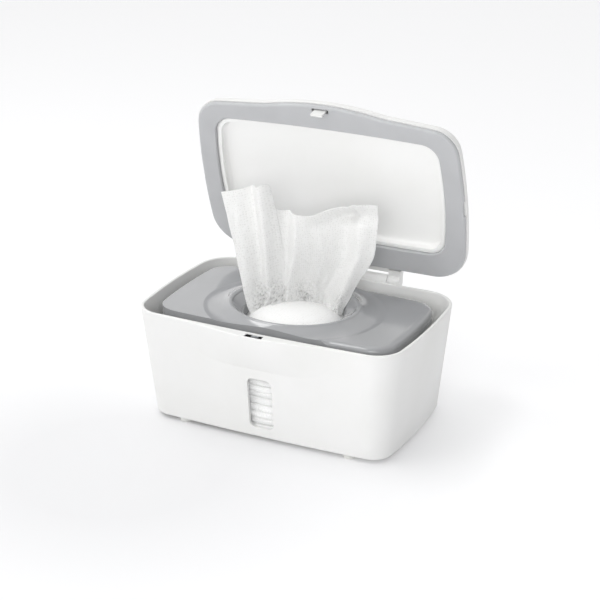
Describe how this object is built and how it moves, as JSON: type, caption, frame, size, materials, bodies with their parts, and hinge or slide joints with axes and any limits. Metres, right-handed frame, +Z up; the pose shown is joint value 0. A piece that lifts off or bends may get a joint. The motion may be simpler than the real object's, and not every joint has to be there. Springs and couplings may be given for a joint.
{
  "type": "wipes dispenser",
  "caption": "Oblong wipes dispenser with a sprung flip lid standing open, a window in the front, and a weighted inner plate with a round hole that a wipe is pulled through.",
  "frame": {"origin": "centre of the box round the open dispenser, on the surface that it stands on", "axes": "+Z up, -Y towards the front with the latch and the window, +X to the right seen from the front"},
  "size_m": [0.2338, 0.165, 0.2471],
  "materials": {
    "white_plastic": "soft gloss",
    "liner_plastic": "soft gloss",
    "grey_plastic": "satin",
    "grey_silicone": "satin",
    "clear_plastic": "clear",
    "foot_rubber": "matte",
    "steel": "bright",
    "weight_steel": "dull",
    "wipe_nonwoven": "embossed, moist"
  },
  "bodies": {
    "bin": {"base_shell": "white_plastic", "window_pane": "clear_plastic", "foot_front_left": "foot_rubber", "foot_front_right": "foot_rubber", "foot_rear_left": "foot_rubber", "foot_rear_right": "foot_rubber", "latch_catch": "steel", "latch_cover": "white_plastic", "hinge_pin": "steel", "lid_spring_left": "steel", "lid_spring_right": "steel", "wipe_stack": "wipe_nonwoven"},
    "lid": {"lid_shell": "white_plastic", "lid_liner": "liner_plastic", "lid_gasket": "grey_silicone", "lid_screws": "steel", "button_pin": "steel", "button_spring": "steel"},
    "release": {"release_button": "white_plastic", "latch_hook": "white_plastic"},
    "weight_plate": {"plate_top": "grey_plastic", "plate_bottom": "grey_plastic", "weight_left": "weight_steel", "weight_right": "weight_steel", "plate_screws": "steel", "pulled_wipe": "wipe_nonwoven"}
  },
  "joints": [
    {"name": "lid_hinge", "type": "hinge", "parent": "bin", "child": "lid", "pos_m": [0, 0.071, 0.0945], "axis": [1, 0, 0], "range_deg": [0, 76.1], "stiffness_Nm_per_rad": 0.06, "springref_deg": -51.57, "deforming": ["pulled_wipe"]},
    {"name": "release_rock", "type": "hinge", "parent": "lid", "child": "release", "pos_m": [0, 0.04533, 0.23484], "axis": [-1, 0, 0], "range_deg": [0, 3.5], "stiffness_Nm_per_rad": 0.15, "springref_deg": -5.73},
    {"name": "plate_slide", "type": "slide", "parent": "bin", "child": "weight_plate", "axis": [0, 0, -1], "range_m": [0, 0.07], "deforming": ["wipe_stack"]}
  ]
}
